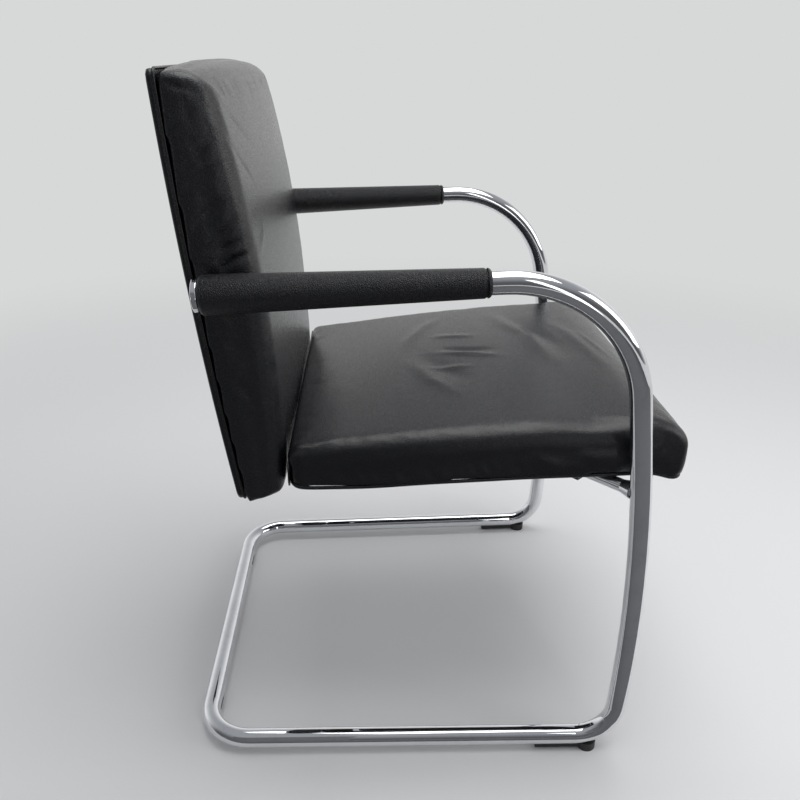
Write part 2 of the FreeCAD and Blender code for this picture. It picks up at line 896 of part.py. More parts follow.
def bolt_starts():
    """Points on the cheek's inner face, one at each bolt of the left bracket."""
    points = [arm_point(1, forward) for forward in back_bolt_forwards]
    return [FreeCAD.Vector(cheek_face - bracket_thickness, p.y, p.z) for p in points]


def make_brackets():
    holes = [cylinder(p - X * cut_margin, X, back_bolt_radius + hole_fit,
                      bracket_thickness + 2 * cut_margin) for p in bolt_starts()]
    holes += [forward_pin(x, z, board_front - cut_margin,
                          board_front + bracket_thickness + cut_margin,
                          screw_radius + inner_fit) for x, z in screw_places(1)]
    return both_sides(without(bracket_space(0), holes))


def make_bracket_screws():
    screws = []
    head_start = board_front + bracket_thickness
    for x, z in screw_places(1):
        head = seated_pin(x, z, head_start, head_start + screw_head_height, screw_head_radius)
        shank = forward_pin(x, z, board_front - screw_length, head_start + inner_fit, screw_radius)
        screws += both_sides(joined([head, shank]))
    return screws


def make_back_bolts():
    """Bolts that run sideways from inside the back into the arm's inserts."""
    bolts = []
    for start, forward in zip(bolt_starts(), back_bolt_forwards):
        under_head = start - X * washer_thickness
        head = cylinder(under_head - X * back_bolt_head_height, X, back_bolt_head_radius,
                        back_bolt_head_height)
        end = arm_point(1, forward).x - tube_radius + back_bolt_reach
        shank = cylinder(under_head, X, back_bolt_radius, end - under_head.x)
        bolts += both_sides(joined([head, shank]))
    return bolts


def make_washers():
    washers = []
    for start in bolt_starts():
        disc = cylinder(start - X * washer_thickness, X, washer_radius, washer_thickness)
        hole = cylinder(start - X * 2 * washer_thickness, X, back_bolt_radius + fit,
                        3 * washer_thickness)
        washers += both_sides(disc.cut(hole))
    return washers


def make_spacers(tube):
    """Tubes between each bracket's cheek and the arm, hollowed to the arm at their outer end."""
    spacers = []
    for start, forward in zip(bolt_starts(), back_bolt_forwards):
        base = start + X * bracket_thickness
        reach = arm_point(1, forward).x - base.x
        sleeve = cylinder(base, X, spacer_radius, reach)
        hole = cylinder(base - X * cut_margin, X, back_bolt_radius + hole_fit,
                        reach + 2 * cut_margin)
        spacers += both_sides(without(sleeve, [hole, tube]))
    return spacers


def make_inserts():
    """Threaded sleeves in the arm's inner wall."""
    inserts = []
    for forward in back_bolt_forwards:
        centre = arm_point(1, forward)
        start = FreeCAD.Vector(centre.x - tube_radius + fit, centre.y, centre.z)
        sleeve = cylinder(start, X, insert_radius, insert_depth)
        hole = cylinder(start - X * cut_margin, X, back_bolt_radius + inner_fit,
                        insert_depth + 2 * cut_margin)
        inserts += both_sides(sleeve.cut(hole))
    return inserts


def make_back_foam():
    form = back_form(back_leather + inner_fit)
    pockets = both_sides(bracket_space(hole_fit))
    for x, z in screw_places(1):
        head_end = board_front + bracket_thickness + screw_head_height + hole_fit
        pockets += both_sides(forward_pin(x, z, board_front, head_end,
                                          screw_head_radius + hole_fit))
    for start in bolt_starts():
        depth = washer_thickness + back_bolt_head_height + hole_fit
        pockets += both_sides(cylinder(start - X * depth, X, washer_radius + hole_fit, depth))
    return without(form, [board_outline(fit)] + pockets + spacer_holes(hole_fit))


# Assembly

def build():
    """Every named piece of the chair, each a list of its solids."""
    frame_outer = rod_along(frame_path(), tube_radius)
    loose_tube = rod_along(frame_path(), tube_radius + inner_fit)
    pan_high = pan_bottom_lift + pan_thickness
    pan_region = seat_plate(pan_margin, pan_bottom_lift, 4 * pan_high, pan_corner)
    saddles = make_saddles(pan_region)
    saddle_room = [saddle_block(centre, along, hole_fit) for centre, along in saddle_places()]
    studs = glide_studs()
    pan = seat_plate(pan_margin, pan_bottom_lift, pan_high, pan_corner)
    underside = seat_plate(underside_margin, -underside_thickness, 0, pan_corner)
    return {
        "frame_tube": [make_frame_tube(frame_outer)],
        "seat_bow": [make_seat_bow(frame_outer)],
        "bow_weld_collars": make_collars(frame_outer),
        "arm_end_caps": [make_end_cap(1), make_end_cap(-1)],
        "left_arm_core": [make_pad_core(1)],
        "right_arm_core": [make_pad_core(-1)],
        "left_arm_leather": [make_pad_leather(1)],
        "right_arm_leather": [make_pad_leather(-1)],
        "front_left_glide": [make_front_glide(1, loose_tube, studs[0])],
        "front_right_glide": [make_front_glide(-1, loose_tube, studs[1])],
        "rear_left_glide": [make_rear_glide(1, studs[2])],
        "rear_right_glide": [make_rear_glide(-1, studs[3])],
        "seat_pan": [without(pan, nut_space(inner_fit))],
        "seat_foam": [make_seat_foam()],
        "seat_cover": [without(make_seat_cover(), saddle_room)],
        "seat_piping": [make_seat_piping()],
        "seat_rear_strip": [make_rear_strip()],
        "seat_underside_cover": [without(underside, saddle_room)],
        "seat_t_nuts": make_seat_nuts(),
        "seat_bolts": make_seat_bolts(),
        "seat_saddles": saddles,
        "back_board": [make_back_board()],
        "back_foam": [make_back_foam()],
        "back_cover": [make_back_cover()],
        "back_panel": [make_panel_board()],
        "back_panel_leather": [make_panel_leather()],
        "panel_clips": make_clips(),
        "back_brackets": make_brackets(),
        "bracket_screws": make_bracket_screws(),
        "back_mount_bolts": make_back_bolts(),
        "back_mount_washers": make_washers(),
        "back_mount_spacers": make_spacers(loose_tube),
        "tube_inserts": make_inserts(),
    }


for name, solids in build().items():
    shape = Part.makeCompound(solids) if len(solids) > 1 else solids[0]
    count = len(shape.Solids)
    box = shape.BoundBox
    print(f"{name}: {count} solids, valid {shape.isValid()}, volume {shape.Volume:.0f}, "
          f"x {box.XMin:.1f} to {box.XMax:.1f}, y {box.YMin:.1f} to {box.YMax:.1f}, "
          f"z {box.ZMin:.1f} to {box.ZMax:.1f}")
    shape.exportStep(f"parts/{name}.step")
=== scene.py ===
import math

import bmesh
import bpy
import numpy as np
from mathutils import Matrix, Vector


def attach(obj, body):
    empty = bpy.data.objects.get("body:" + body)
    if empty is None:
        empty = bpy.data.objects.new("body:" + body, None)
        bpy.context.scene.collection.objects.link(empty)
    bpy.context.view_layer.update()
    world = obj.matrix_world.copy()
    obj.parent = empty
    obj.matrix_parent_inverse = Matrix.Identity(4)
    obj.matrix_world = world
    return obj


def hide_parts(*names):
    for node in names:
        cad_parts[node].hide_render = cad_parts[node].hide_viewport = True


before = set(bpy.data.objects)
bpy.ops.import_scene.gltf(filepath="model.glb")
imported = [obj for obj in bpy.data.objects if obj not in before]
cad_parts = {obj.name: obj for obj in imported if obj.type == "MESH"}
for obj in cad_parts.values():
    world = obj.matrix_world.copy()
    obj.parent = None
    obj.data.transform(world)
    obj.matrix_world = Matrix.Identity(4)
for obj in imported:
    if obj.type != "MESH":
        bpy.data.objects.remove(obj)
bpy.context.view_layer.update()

# Looks of the cantilever armchair. Metres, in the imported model's own frame: +Z is up, the chair
# faces -Y and +X is the sitter's left. "Forward" is the distance from the frame's rearmost face.

half_depth = 0.307

# Seat cushion
seat_half = 0.245
seat_front = 0.614
seat_rear = 0.146
seat_bottom_height = 0.3945
seat_tilt = 0.030
seat_top_rear_height = 0.4345
seat_top_front_height = 0.4715
seat_top_bulge = 0.0037
seat_crown = 0.011
seat_fall_start = 0.550
seat_fall_height = 0.0295
seat_fall_power = 1.72
seat_side_rounding = 0.018
seat_rear_rounding = 0.012
seat_rear_corner = 0.012
seat_front_corner = 0.009
seat_front_tuck = 0.006
piping_radius = 0.0022
piping_seat = 0.0022
strip_thickness = 0.0024
strip_height = 0.027
strip_margin = 0.004
cloth_thickness = 0.0008
cloth_margin = 0.009
cloth_corner = 0.030
seat_fold_strength = 1.6
seat_held_height = 0.006
seat_eased_height = 0.015

# Wear of the seat, which only the dressed chair shows
wear_full_height = 0.040
wear_behind_end = 0.400
wear_behind_length = 0.200
wear_front_middle = 0.500
wear_front_width = 0.045
rear_swell_depth = 0.0050
rear_corner_lift = 0.0080
rear_corner_length = 0.008
front_corner_drop = 0.0076
front_corner_middle = 0.598
front_corner_width = 0.019
edge_lift_width = 0.030
edge_lift_height = 0.035

# Back cushion and rear panel
back_half = 0.240
back_top = 0.8505
back_top_drop = 0.008
back_bottom = 0.373
back_bottom_rise = 0.0075
back_rear_forward = 0.0251
back_rear_curve = 4.970
back_rear_vertical = 1.141
back_front_forward = 0.1365
back_front_curve = 1.640
back_front_vertical = 0.448
back_crown = 0.005
back_low_side_rounding = 0.011
back_high_side_rounding = 0.022
back_top_edge_rounding = 0.007
back_head_rounding = 0.030
back_foot_rounding = 0.006
panel_half = 0.238
panel_bottom = 0.378
panel_top = 0.845
panel_thickness = 0.0076
panel_corner = 0.007
panel_gap = 0.0012
welt_radius = 0.0016
welt_inset = 0.0005
side_fold_strength = 1.5
back_held_depth = 0.030
low_front_swell = 0.0035
low_front_middle = 0.420
low_front_width = 0.050

# Padding of both cushions
cushion_voxel = 0.005
ease_rounds = 6
swell_frames = 20
swell_pressure = 3.0
swell_cap = 0.0018

# Arm pads
arm_end = (0.264, 0.070, 0.63412)
arm_corner = (0.2675, 0.5166, 0.6502)
pad_gap = 0.0004
pad_length = 0.295
pad_rear_radius = 0.021
pad_front_radius = 0.0155
pad_rounding = 0.004
pad_bore = 0.01265

# Camera of the photograph
camera_place = (-1.0409, 0.0675, 0.8615)
camera_forward = (0.9126, -0.0389, -0.4070)
camera_roll = 0.0025
camera_lens = 35.41


# Meshes from arrays

def place(x, forward, height):
    """Points of the chair from their side, forward distance and height."""
    x, forward, height = np.broadcast_arrays(x, forward, height)
    return np.stack([x, half_depth - forward, height], axis=-1)


def grid_faces(rows, columns, closed_rows, closed_columns):
    """Four corners of every cell of a grid of points, row by row."""
    row = np.arange(rows if closed_rows else rows - 1)[:, None]
    column = np.arange(columns if closed_columns else columns - 1)[None, :]
    next_row = (row + 1) % rows
    next_column = (column + 1) % columns
    corners = [row * columns + column, row * columns + next_column,
               next_row * columns + next_column, next_row * columns + column]
    return np.stack(np.broadcast_arrays(*corners), axis=-1).reshape(-1, 4)


def outward(mesh):
    """Merges points that coincide and turns all faces outwards."""
    work = bmesh.new()
    work.from_mesh(mesh)
    bmesh.ops.remove_doubles(work, verts=work.verts, dist=1e-6)
    bmesh.ops.dissolve_degenerate(work, edges=work.edges, dist=1e-7)
    bmesh.ops.recalc_face_normals(work, faces=work.faces)
    work.to_mesh(mesh)
    work.free()


def surface(name, points, closed_rows=False, closed_columns=False):
    """A smooth piece from a grid of points, given as rows by columns by 3."""
    rows, columns = points.shape[:2]
    faces = grid_faces(rows, columns, closed_rows, closed_columns)
    mesh = bpy.data.meshes.new(name)
    mesh.from_pydata(points.reshape(-1, 3).tolist(), [], faces.tolist())
    outward(mesh)
    mesh.shade_smooth()
    piece = bpy.data.objects.new(name, mesh)
    bpy.context.scene.collection.objects.link(piece)
    return piece


def points_of(mesh):
    flat = np.empty(len(mesh.vertices) * 3, np.float32)
    mesh.vertices.foreach_get("co", flat)
    return flat.reshape(-1, 3).astype(float)


def normals_of(mesh):
    flat = np.empty(len(mesh.vertices) * 3, np.float32)
    mesh.vertex_normals.foreach_get("vector", flat)
    return flat.reshape(-1, 3).astype(float)


def set_points(mesh, points):
    mesh.vertices.foreach_set("co", points.astype(np.float32).ravel())
    mesh.update()


def finished_mesh(piece):
    """The piece's mesh with its modifiers applied."""
    graph = bpy.context.evaluated_depsgraph_get()
    return bpy.data.meshes.new_from_object(piece.evaluated_get(graph))


def take_mesh(piece, mesh):
    """Gives the piece this mesh and clears its modifiers."""
    old = piece.data
    piece.modifiers.clear()
    piece.data = mesh
    mesh.name = piece.name
    mesh.shade_smooth()
    bpy.data.meshes.remove(old)


def rounded(edge, radius):
    """How far a rounded corner draws in, this far from where the corner ends."""
    rest = np.maximum(radius - edge, 0)
    return radius - np.sqrt(radius ** 2 - rest ** 2)


def stations(half, count):
    """Sides from one end to the other, close together near both ends."""
    return half * np.sin(np.linspace(-math.pi / 2, math.pi / 2, count))[:, None]


def with_side_faces(points, rings=7):
    """The grid with its first and last rows closed by rings that shrink to one point."""
    share = np.linspace(0, 1, rings, endpoint=False)[:, None, None]
    first = points[:1]
    last = points[-1:]
    first_middle = first.mean(axis=1, keepdims=True)
    last_middle = last.mean(axis=1, keepdims=True)
    opening = first_middle + (first - first_middle) * share
    closing = last_middle + (last - last_middle) * share[::-1]
    return np.concatenate([opening, points, closing])


# Seat cushion

def seat_bottom(forward):
    return seat_bottom_height + seat_tilt * (forward - seat_rear)


def seat_top(forward):
    """Height along the sides: a straight rise with a parabola's bulge on it."""
    share = (forward - seat_rear) / (seat_fall_start - seat_rear)
    rise = (seat_top_front_height - seat_top_rear_height) * share
    return seat_top_rear_height + rise + 4 * seat_top_bulge * share * (1 - share)


def seat_swell(x, forward):
    """How far the top stands above its sides: a parabola across times a parabola along."""
    middle = (seat_rear + seat_front) / 2
    from_middle = (forward - middle) / (seat_front - middle)
    return seat_crown * (1 - (x / seat_half) ** 2) * (1 - from_middle ** 2)


def seat_fall(forward):
    """How far the top falls towards the front: a superellipse from where the fall starts."""
    share = np.clip((forward - seat_fall_start) / (seat_front - seat_fall_start), 0, 1)
    inner = 1 - share ** seat_fall_power
    return seat_fall_height * (1 - inner ** (1 / seat_fall_power))


def seat_shell():
    """The side outline, carried across the width and drawn in near both sides by a rounding."""
    x = stations(seat_half, 91)
    edge = seat_half - np.abs(x)
    drop = rounded(edge, seat_side_rounding)
    rear = seat_rear + rounded(edge, seat_rear_corner)
    front = seat_front - rounded(edge, seat_front_corner)
    full_height = seat_top(seat_rear) - seat_bottom(seat_rear)
    radius = seat_rear_rounding * (full_height - drop) / full_height
    shoulder = rear + radius

    def top(forward):
        return seat_top(forward) - drop + seat_swell(x, forward)

    up = np.linspace(0, 1, 9)[:-1]
    turn = np.linspace(0, math.pi / 2, 9)[:-1]
    along = np.linspace(0, 1, 60)[:-1]
    fall = np.sin(np.linspace(0, math.pi / 2, 30))
    down = np.linspace(0, 1, 10)[1:]
    back = np.linspace(0, 1, 60)[1:-1]
    shoulder_height = top(shoulder)
    fall_forward = seat_fall_start + (front - seat_fall_start) * fall
    fall_share = seat_fall_start + (seat_front - seat_fall_start) * fall
    fall_height = top(fall_forward) - seat_fall(fall_share)
    side_height = fall_height[:, -1:]
    foot = front - seat_front_tuck
    parts = [
        (rear + 0 * up, seat_bottom(rear) * (1 - up) + (shoulder_height - radius) * up),
        (shoulder - radius * np.cos(turn), shoulder_height - radius * (1 - np.sin(turn))),
        (shoulder + (seat_fall_start - shoulder) * along,
         top(shoulder + (seat_fall_start - shoulder) * along)),
        (fall_forward, fall_height),
        (front - seat_front_tuck * down ** 2, side_height * (1 - down) + seat_bottom(foot) * down),
        (foot + (rear - foot) * back, seat_bottom(foot + (rear - foot) * back)),
    ]
    forward = np.concatenate([np.broadcast_arrays(part[0], part[1])[0] for part in parts], axis=1)
    height = np.concatenate([np.broadcast_arrays(part[0], part[1])[1] for part in parts], axis=1)
    return surface("seat_cushion", with_side_faces(place(x, forward, height)), False, True)


# Back cushion

def back_rear(height):
    """Forward distance of the rear face, an arc that leans away upwards."""
    rise = back_rear_vertical - height
    return back_rear_forward + back_rear_curve - np.sqrt(back_rear_curve ** 2 - rise ** 2)


def back_front(height):
    """Forward distance of the front face near its sides, an arc."""
    rise = height - back_front_vertical
    return back_front_forward - back_front_curve + np.sqrt(back_front_curve ** 2 - rise ** 2)


def back_shell():
    """The side outline, carried across the width, with corners that grow fuller upwards."""
    x = stations(back_half, 91)
    edge = back_half - np.abs(x)
    share = np.abs(x) / back_half
    top = back_top - back_top_drop * share ** 3 - rounded(edge, back_top_edge_rounding)
    low = back_bottom + 0 * x
    low_front = low + back_bottom_rise
    rear_distance = panel_thickness + panel_gap

    def front(height):
        climb = (height - back_bottom) / (back_top - back_bottom)
        radius = back_low_side_rounding + (back_high_side_rounding - back_low_side_rounding) * climb
        return back_front(height) + back_crown * (1 - share ** 2) - rounded(edge, radius)

    head_start = top - back_head_rounding
    depth = front(head_start) - back_rear(head_start) - rear_distance
    full = back_front(head_start) + back_crown - back_rear(head_start) - rear_distance
    head = back_head_rounding * depth / full
    head_start = top - head
    foot_end = low_front + back_foot_rounding
    up = np.linspace(0, 1, 70)[:-1]
    across = np.linspace(0, 1, 12)[:-1]
    turn = np.linspace(0, math.pi / 2, 12)[:-1]
    foot_turn = np.linspace(0, math.pi / 2, 7)[:-1]
    down = np.linspace(0, 1, 70)[:-1]
    bottom = np.linspace(0, 1, 14)[:-1]
    rear_height = low + (top - low) * up
    top_rear = back_rear(top) + rear_distance
    top_front = front(head_start) - head
    face_height = head_start + (foot_end - head_start) * down
    foot_front = front(foot_end)
    foot_forward = foot_front - back_foot_rounding
    low_rear = back_rear(low) + rear_distance
    parts = [
        (back_rear(rear_height) + rear_distance, rear_height),
        (top_rear + (top_front - top_rear) * across, top + 0 * across),
        (top_front + head * np.sin(turn), head_start + head * np.cos(turn)),
        (front(face_height), face_height),
        (foot_forward + back_foot_rounding * np.cos(foot_turn),
         foot_end - back_foot_rounding * np.sin(foot_turn)),
        (foot_forward + (low_rear - foot_forward) * bottom, low_front + (low - low_front) * bottom),
    ]
    forward = np.concatenate([np.broadcast_arrays(part[0], part[1])[0] for part in parts], axis=1)
    height = np.concatenate([np.broadcast_arrays(part[0], part[1])[1] for part in parts], axis=1)
    return surface("back_cushion", with_side_faces(place(x, forward, height)), False, True)


# Padding

def even_mesh(piece, eased):
    """Even small quads, smoothed where the given rule of their points says so."""
    remesh = piece.modifiers.new("even", "REMESH")
    remesh.mode = "VOXEL"
    remesh.voxel_size = cushion_voxel
    take_mesh(piece, finished_mesh(piece))
    group = piece.vertex_groups.new(name="eased")
    group.add(np.flatnonzero(eased(points_of(piece.data))).tolist(), 1.0, "REPLACE")
    ease = piece.modifiers.new("ease", "SMOOTH")
    ease.factor = 0.5
    ease.iterations = ease_rounds
    ease.vertex_group = "eased"
    take_mesh(piece, finished_mesh(piece))
    piece.vertex_groups.clear()


def swell_under_pressure(piece, held):
    """Inflates the piece as cloth for some frames and moves no point further than the cap."""
    rest = points_of(piece.data)
    twin = bpy.data.objects.new("cloth_copy", piece.data.copy())
    bpy.context.scene.collection.objects.link(twin)
    group = twin.vertex_groups.new(name="held")
    group.add(np.flatnonzero(held(rest)).tolist(), 1.0, "REPLACE")
    cloth = twin.modifiers.new("cloth", "CLOTH")
    cloth.settings.quality = 5
    cloth.settings.mass = 0.3
    cloth.settings.tension_stiffness = 12
    cloth.settings.compression_stiffness = 12
    cloth.settings.shear_stiffness = 6
    cloth.settings.bending_stiffness = 0.6
    cloth.settings.shrink_min = -0.012
    cloth.settings.use_pressure = True
    cloth.settings.uniform_pressure_force = swell_pressure
    cloth.settings.effector_weights.gravity = 0
    cloth.settings.vertex_group_mass = "held"
    cloth.collision_settings.use_collision = False
    cloth.point_cache.frame_start = 1
    cloth.point_cache.frame_end = swell_frames
    for step in range(1, swell_frames + 1):
        bpy.context.scene.frame_set(step)
    swollen = finished_mesh(twin)
    move = points_of(swollen) - rest
    length = np.linalg.norm(move, axis=1, keepdims=True)
    move = move * swell_cap * np.tanh(length / swell_cap) / np.maximum(length, 1e-9)
    set_points(piece.data, rest + move)
    bpy.context.scene.frame_set(1)
    bpy.data.meshes.remove(swollen)
    spare = twin.data
    bpy.data.objects.remove(twin)
    bpy.data.meshes.remove(spare)


def subdivided_once(piece):
    fine = piece.modifiers.new("fine", "SUBSURF")
    fine.levels = 1
    fine.render_levels = 1
    take_mesh(piece, finished_mesh(piece))


def bell(value, middle, width):
    """1 at the middle, fading to both sides."""
    return np.exp(-((value - middle) / width) ** 2)


def line_distance(flat, corners):
    """Signed distance of flat points from a bent line, and how far along it they lie, 0 to 1."""
    corners = np.array(corners, float)
    lengths = np.linalg.norm(np.diff(corners, axis=0), axis=1)
    before = np.concatenate([[0], np.cumsum(lengths)])
    best = np.full(len(flat), np.inf)
    signed = np.zeros(len(flat))
    along = np.zeros(len(flat))
    for start, end, length, offset in zip(corners, corners[1:], lengths, before):
        direction = (end - start) / length
        reach = np.clip((flat - start) @ direction, 0, length)
        gap = flat - start - reach[:, None] * direction
        distance = np.linalg.norm(gap, axis=1)
        side = np.sign(direction[0] * gap[:, 1] - direction[1] * gap[:, 0])
        closer = distance < best
        best = np.where(closer, distance, best)
        signed = np.where(closer, side * distance, signed)
        along = np.where(closer, (offset + reach) / before[-1], along)
    return signed, along


def fold(flat, corners, height, width):
    """A soft ridge on a bent line: a bell across it that fades towards both of its ends."""
    signed, along = line_distance(flat, corners)
    return height * bell(signed, 0, width) * np.sin(math.pi * np.clip(along, 0.03, 0.97))


# Folds of the seat's top: side and forward distance of their points, height, width
seat_folds = [
    ([(0.178, 0.356), (0.120, 0.320), (0.067, 0.298), (0.030, 0.292)], 0.0011, 0.010),
    ([(0.000, 0.296), (-0.041, 0.303), (-0.089, 0.320), (-0.151, 0.358)], 0.0012, 0.010),
    ([(0.010, 0.318), (-0.030, 0.330), (-0.070, 0.345), (-0.110, 0.375)], -0.0014, 0.014),
    ([(0.004, 0.335), (-0.006, 0.360), (-0.016, 0.390), (-0.027, 0.422)], 0.0016, 0.007),
    ([(0.016, 0.340), (0.006, 0.372), (-0.004, 0.420)], -0.0013, 0.008),
    ([(0.075, 0.330), (0.068, 0.365), (0.060, 0.400)], 0.0010, 0.008),
    ([(-0.050, 0.315), (-0.055, 0.345), (-0.058, 0.385)], 0.0009, 0.007),
    ([(0.189, 0.431), (0.108, 0.450), (0.060, 0.472), (-0.013, 0.484), (-0.080, 0.494)],
     0.0016, 0.013),
    ([(0.150, 0.466), (0.080, 0.482), (0.020, 0.505), (-0.050, 0.515)], -0.0014, 0.015),
    ([(0.120, 0.515), (0.058, 0.535), (-0.018, 0.546), (-0.090, 0.556)], 0.0013, 0.010),
    ([(0.075, 0.548), (0.005, 0.562), (-0.045, 0.572)], 0.0007, 0.005),
]


def above_seat_bottom(points):
    return points[:, 2] - seat_bottom(half_depth - points[:, 1])


def worn_lift(points):
    """How sitting has changed the top: fuller behind on the near side, pressed down in front."""
    forward = half_depth - points[:, 1]
    side = points[:, 0] / seat_half
    share = np.clip(above_seat_bottom(points) / wear_full_height, 0, 1)
    behind = np.clip((wear_behind_end - forward) / wear_behind_length, 0, 1)
    fuller = 0.0020 - 0.0050 * side
    pressed = 0.0035 * side - 0.0025
    return share * (behind * fuller + bell(forward, wear_front_middle, wear_front_width) * pressed)


def rear_swell(points):
    """How far the top of the rear face leans back towards the back cushion."""
    forward = half_depth - points[:, 1]
    top = bell(points[:, 2], seat_top_rear_height, 0.011)
    return rear_swell_depth * top * bell(forward, seat_rear, 0.014)


def edge_lift(points):
    """How the lower edge runs: up at the rear corners, a shallow sag, down at the front corners."""
    forward = half_depth - points[:, 1]
    side = bell(np.abs(points[:, 0]), seat_half, edge_lift_width)
    low = np.clip(1 - above_seat_bottom(points) / edge_lift_height, 0, 1)
    from_rear = np.clip(forward - seat_rear, 0, None)
    rear_corner = rear_corner_lift * np.exp(-from_rear / rear_corner_length)
    sag = 0.0018 * bell(forward, 0.240, 0.050) - 0.0009 * bell(forward, 0.430, 0.060)
    front_corner = front_corner_drop * bell(forward, front_corner_middle, front_corner_width)
    return side * low * (rear_corner - sag - front_corner)


def make_seat_cushion():
    """The leather seat: swollen form, folds and wear on its top, and the run of its lower edge."""
    piece = seat_shell()
    even_mesh(piece, lambda points: above_seat_bottom(points) > seat_eased_height)
    swell_under_pressure(piece, lambda points: above_seat_bottom(points) < seat_held_height)
    subdivided_once(piece)
    points = points_of(piece.data)
    normals = normals_of(piece.data)
    flat = np.stack([points[:, 0], half_depth - points[:, 1]], axis=1)
    lift = np.zeros(len(points))
    for corners, height, width in seat_folds:
        lift += fold(flat, corners, seat_fold_strength * height, width)
    points[:, 2] += lift * np.clip(normals[:, 2], 0, 1) ** 2
    points[:, 2] += worn_lift(points) + edge_lift(points)
    points[:, 1] += rear_swell(points)
    set_points(piece.data, points)
    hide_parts("seat_cover", "seat_foam")
    return piece


# Folds of the back's side panels: forward distance and height of their points, height, width
side_folds = [
    ([(0.049, 0.753), (0.064, 0.760), (0.081, 0.772), (0.092, 0.788)], -0.0014, 0.0050),
    ([(0.053, 0.731), (0.067, 0.741), (0.082, 0.750), (0.096, 0.758)], -0.0015, 0.0055),
    ([(0.060, 0.693), (0.078, 0.708), (0.093, 0.721), (0.103, 0.729)], -0.0018, 0.0055),
    ([(0.071, 0.668), (0.084, 0.678), (0.100, 0.695), (0.111, 0.708)], -0.0017, 0.0050),
    ([(0.081, 0.657), (0.095, 0.675), (0.113, 0.686)], -0.0022, 0.0040),
    ([(0.086, 0.652), (0.104, 0.664), (0.125, 0.671)], -0.0020, 0.0040),
    ([(0.046, 0.836), (0.064, 0.829), (0.079, 0.825), (0.091, 0.823)], -0.0016, 0.0040),
    ([(0.050, 0.803), (0.069, 0.808), (0.085, 0.813)], -0.0009, 0.0060),
]
# Folds of the back's front face: side and height of their points, height, width
front_folds = [
    ([(-0.219, 0.816), (-0.150, 0.781), (-0.109, 0.765)], -0.0007, 0.0040),
    ([(-0.230, 0.784), (-0.201, 0.761), (-0.161, 0.734), (-0.146, 0.714)], -0.0008, 0.0040),
    ([(-0.155, 0.692), (-0.166, 0.676), (-0.207, 0.663)], 0.0012, 0.0050),
    ([(-0.160, 0.827), (-0.116, 0.827), (-0.078, 0.832), (-0.040, 0.834), (0.031, 0.831),
      (0.068, 0.828), (0.123, 0.821)], -0.0006, 0.0030),
]


def near_panel(points):
    return half_depth - points[:, 1] < back_rear(points[:, 2]) + back_held_depth


def make_back_cushion():
    """The leather back: swollen form with the folds of its sides and front."""
    piece = back_shell()
    even_mesh(piece, lambda points: points[:, 2] > 0)
    swell_under_pressure(piece, near_panel)
    subdivided_once(piece)
    points = points_of(piece.data)
    normals = normals_of(piece.data)
    side_view = np.stack([half_depth - points[:, 1], points[:, 2]], axis=1)
    front_view = points[:, [0, 2]]
    side = np.zeros(len(points))
    for corners, height, width in side_folds:
        side += fold(side_view, corners, side_fold_strength * height, width)
    front = np.zeros(len(points))
    for corners, height, width in front_folds:
        front += fold(front_view, corners, height, width)
    points[:, 0] += side * normals[:, 0] * np.abs(normals[:, 0])
    edge = np.clip(np.abs(points[:, 0]) / back_half, 0, 1) ** 4
    front += low_front_swell * edge * bell(points[:, 2], low_front_middle, low_front_width)
    points[:, 1] -= front * np.clip(-normals[:, 1], 0, 1) ** 2
    set_points(piece.data, points)
    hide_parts("back_cover", "back_foam")
    return piece


# Sewn and covered slabs

def corner_path(half_x, low, high, corner, count=10):
    """A rectangle with round corners, as points of its two directions, run round once."""
    turn = np.linspace(0, math.pi / 2, count)
    parts = []
    for middle_x, middle_y, start in ((half_x - corner, high - corner, 0.0),
                                      (-half_x + corner, high - corner, 0.5),
                                      (-half_x + corner, low + corner, 1.0),
                                      (half_x - corner, low + corner, 1.5)):
        angle = start * math.pi + turn
        parts.append(np.stack([middle_x + corner * np.cos(angle),
                               middle_y + corner * np.sin(angle)], axis=1))
    return np.concatenate(parts)


def evened(path, step):
    """The closed path again, with points a given step apart."""
    closed = np.concatenate([path, path[:1]])
    lengths = np.linalg.norm(np.diff(closed, axis=0), axis=1)
    along = np.concatenate([[0], np.cumsum(lengths)])
    count = int(round(along[-1] / step))
    wanted = np.linspace(0, along[-1], count, endpoint=False)
    columns = [np.interp(wanted, along, closed[:, k]) for k in range(closed.shape[1])]
    return np.stack(columns, axis=1)


def slab(name, half_x, low, high, corner, thickness, edge, to_space, step=0.006):
    """A thin plate with round corners and half-round edges, carried onto a curved face."""
    outline = evened(corner_path(half_x, low, high, corner), step)
    middle = np.array([[0.0, (low + high) / 2]])
    inward = middle - outline
    inward = inward / np.linalg.norm(inward, axis=1, keepdims=True)
    turn = np.linspace(-math.pi / 2, math.pi / 2, 11)[:, None]
    inset = edge * (1 - np.cos(turn))
    depth = thickness / 2 + (thickness / 2) * np.sin(turn)
    rim = outline[None] + inward[None] * inset[..., None]
    rim_depth = np.broadcast_to(depth, rim.shape[:2])
    shrink = np.linspace(0, 1, 40)[:-1, None, None]
    lower = middle + (rim[:1] - middle) * shrink
    upper = middle + (rim[-1:] - middle) * shrink[::-1]
    plan = np.concatenate([lower, rim, upper])
    heights = np.concatenate([np.zeros(lower.shape[:2]), rim_depth,
                              np.full(upper.shape[:2], thickness)])
    return surface(name, to_space(plan[..., 0], plan[..., 1], heights), False, True)


